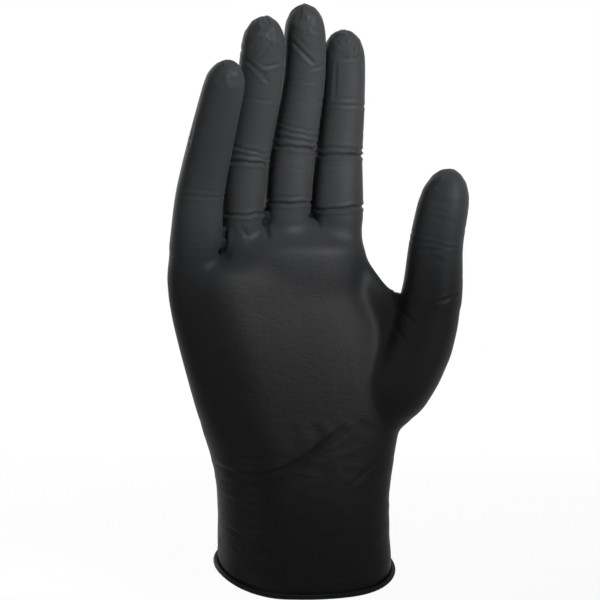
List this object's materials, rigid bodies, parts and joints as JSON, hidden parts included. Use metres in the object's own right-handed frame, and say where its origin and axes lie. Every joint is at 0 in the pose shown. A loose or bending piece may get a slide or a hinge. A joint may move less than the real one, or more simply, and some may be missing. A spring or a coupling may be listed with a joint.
{
  "type": "disposable nitrile glove",
  "caption": "Thin black nitrile work glove in the shape of a worn right hand, with rolled wrist rim and flexing finger, thumb and wrist folds",
  "frame": {"origin": "centre of the wrist opening, on the middle line of the slanted rolled rim", "axes": "+Z from the wrist towards the fingertips, -Y out of the palm, +X towards the thumb"},
  "size_m": [0.1238, 0.0635, 0.245],
  "materials": {
    "nitrile": "satin film",
    "rolled_nitrile": "satin roll"
  },
  "bodies": {
    "cuff": {"rolled_rim": "rolled_nitrile", "cuff_sleeve": "nitrile"},
    "hand": {"hand_shell": "nitrile", "wrist_fold": "nitrile"},
    "index_proximal": {"index_root_fold": "nitrile", "index_proximal_stall": "nitrile"},
    "index_middle": {"index_middle_fold": "nitrile", "index_middle_stall": "nitrile"},
    "index_tip": {"index_end_fold": "nitrile", "index_fingertip": "nitrile"},
    "middle_proximal": {"middle_root_fold": "nitrile", "middle_proximal_stall": "nitrile"},
    "middle_middle": {"middle_middle_fold": "nitrile", "middle_middle_stall": "nitrile"},
    "middle_tip": {"middle_end_fold": "nitrile", "middle_fingertip": "nitrile"},
    "ring_proximal": {"ring_root_fold": "nitrile", "ring_proximal_stall": "nitrile"},
    "ring_middle": {"ring_middle_fold": "nitrile", "ring_middle_stall": "nitrile"},
    "ring_tip": {"ring_end_fold": "nitrile", "ring_fingertip": "nitrile"},
    "little_proximal": {"little_root_fold": "nitrile", "little_proximal_stall": "nitrile"},
    "little_middle": {"little_middle_fold": "nitrile", "little_middle_stall": "nitrile"},
    "little_tip": {"little_end_fold": "nitrile", "little_fingertip": "nitrile"},
    "thumb_proximal": {"thumb_root_fold": "nitrile", "thumb_proximal_stall": "nitrile"},
    "thumb_tip": {"thumb_joint_fold": "nitrile", "thumb_tip": "nitrile"}
  },
  "joints": [
    {"name": "wrist_flex", "type": "hinge", "parent": "cuff", "child": "hand", "pos_m": [-0.001, 0, 0.044], "axis": [1, 0, 0], "range_deg": [-45, 45], "deforming": ["wrist_fold"]},
    {"name": "index_knuckle", "type": "hinge", "parent": "hand", "child": "index_proximal", "pos_m": [0.0138, 0.001, 0.1485], "axis": [1, 0, -0.001], "range_deg": [-15, 66], "deforming": ["index_root_fold"]},
    {"name": "index_middle_joint", "type": "hinge", "parent": "index_proximal", "child": "index_middle", "pos_m": [0.01382, 0.00013, 0.16838], "axis": [0.9988, 0, -0.0486], "range_deg": [-8, 70], "deforming": ["index_middle_fold"]},
    {"name": "index_end_joint", "type": "hinge", "parent": "index_middle", "child": "index_tip", "pos_m": [0.01498, -0.00196, 0.19229], "axis": [1, 0, 0.0025], "range_deg": [-6, 36], "deforming": ["index_end_fold"]},
    {"name": "middle_knuckle", "type": "hinge", "parent": "hand", "child": "middle_proximal", "pos_m": [-0.0085, 0, 0.1495], "axis": [0.9974, 0, -0.0714], "range_deg": [-15, 66], "deforming": ["middle_root_fold"]},
    {"name": "middle_middle_joint", "type": "hinge", "parent": "middle_proximal", "child": "middle_middle", "pos_m": [-0.0069, -0.00255, 0.17186], "axis": [0.9936, 0, -0.113], "range_deg": [-8, 70], "deforming": ["middle_middle_fold"]},
    {"name": "middle_end_joint", "type": "hinge", "parent": "middle_middle", "child": "middle_tip", "pos_m": [-0.0032, -0.00799, 0.2044], "axis": [0.9995, 0, 0.0302], "range_deg": [-6, 36], "deforming": ["middle_end_fold"]},
    {"name": "ring_knuckle", "type": "hinge", "parent": "hand", "child": "ring_proximal", "pos_m": [-0.0282, -0.001, 0.1475], "axis": [0.9987, 0, -0.0511], "range_deg": [-15, 66], "deforming": ["ring_root_fold"]},
    {"name": "ring_middle_joint", "type": "hinge", "parent": "ring_proximal", "child": "ring_middle", "pos_m": [-0.0272, -0.00446, 0.1671], "axis": [0.9924, 0, -0.1231], "range_deg": [-8, 70], "deforming": ["ring_middle_fold"]},
    {"name": "ring_end_joint", "type": "hinge", "parent": "ring_middle", "child": "ring_tip", "pos_m": [-0.02337, -0.0113, 0.19795], "axis": [0.9989, 0, -0.0462], "range_deg": [-6, 36], "deforming": ["ring_end_fold"]},
    {"name": "little_knuckle", "type": "hinge", "parent": "hand", "child": "little_proximal", "pos_m": [-0.0487, -0.005, 0.1365], "axis": [0.9993, 0, -0.0383], "range_deg": [-15, 66], "deforming": ["little_root_fold"]},
    {"name": "little_middle_joint", "type": "hinge", "parent": "little_proximal", "child": "little_middle", "pos_m": [-0.04796, -0.0113, 0.1559], "axis": [0.9925, 0, -0.1219], "range_deg": [-8, 70], "deforming": ["little_middle_fold"]},
    {"name": "little_end_joint", "type": "hinge", "parent": "little_middle", "child": "little_tip", "pos_m": [-0.04493, -0.02127, 0.18056], "axis": [0.9906, 0, -0.1371], "range_deg": [-6, 36], "deforming": ["little_end_fold"]},
    {"name": "thumb_knuckle", "type": "hinge", "parent": "hand", "child": "thumb_proximal", "pos_m": [0.0507, -0.0145, 0.114], "axis": [-0.7738, 0.6045, 0.1892], "range_deg": [-40, 8], "deforming": ["thumb_root_fold"]},
    {"name": "thumb_joint", "type": "hinge", "parent": "thumb_proximal", "child": "thumb_tip", "pos_m": [0.0516, -0.018, 0.136], "axis": [-0.7762, 0.6064, 0.1726], "range_deg": [-50, 12], "deforming": ["thumb_joint_fold"]}
  ]
}
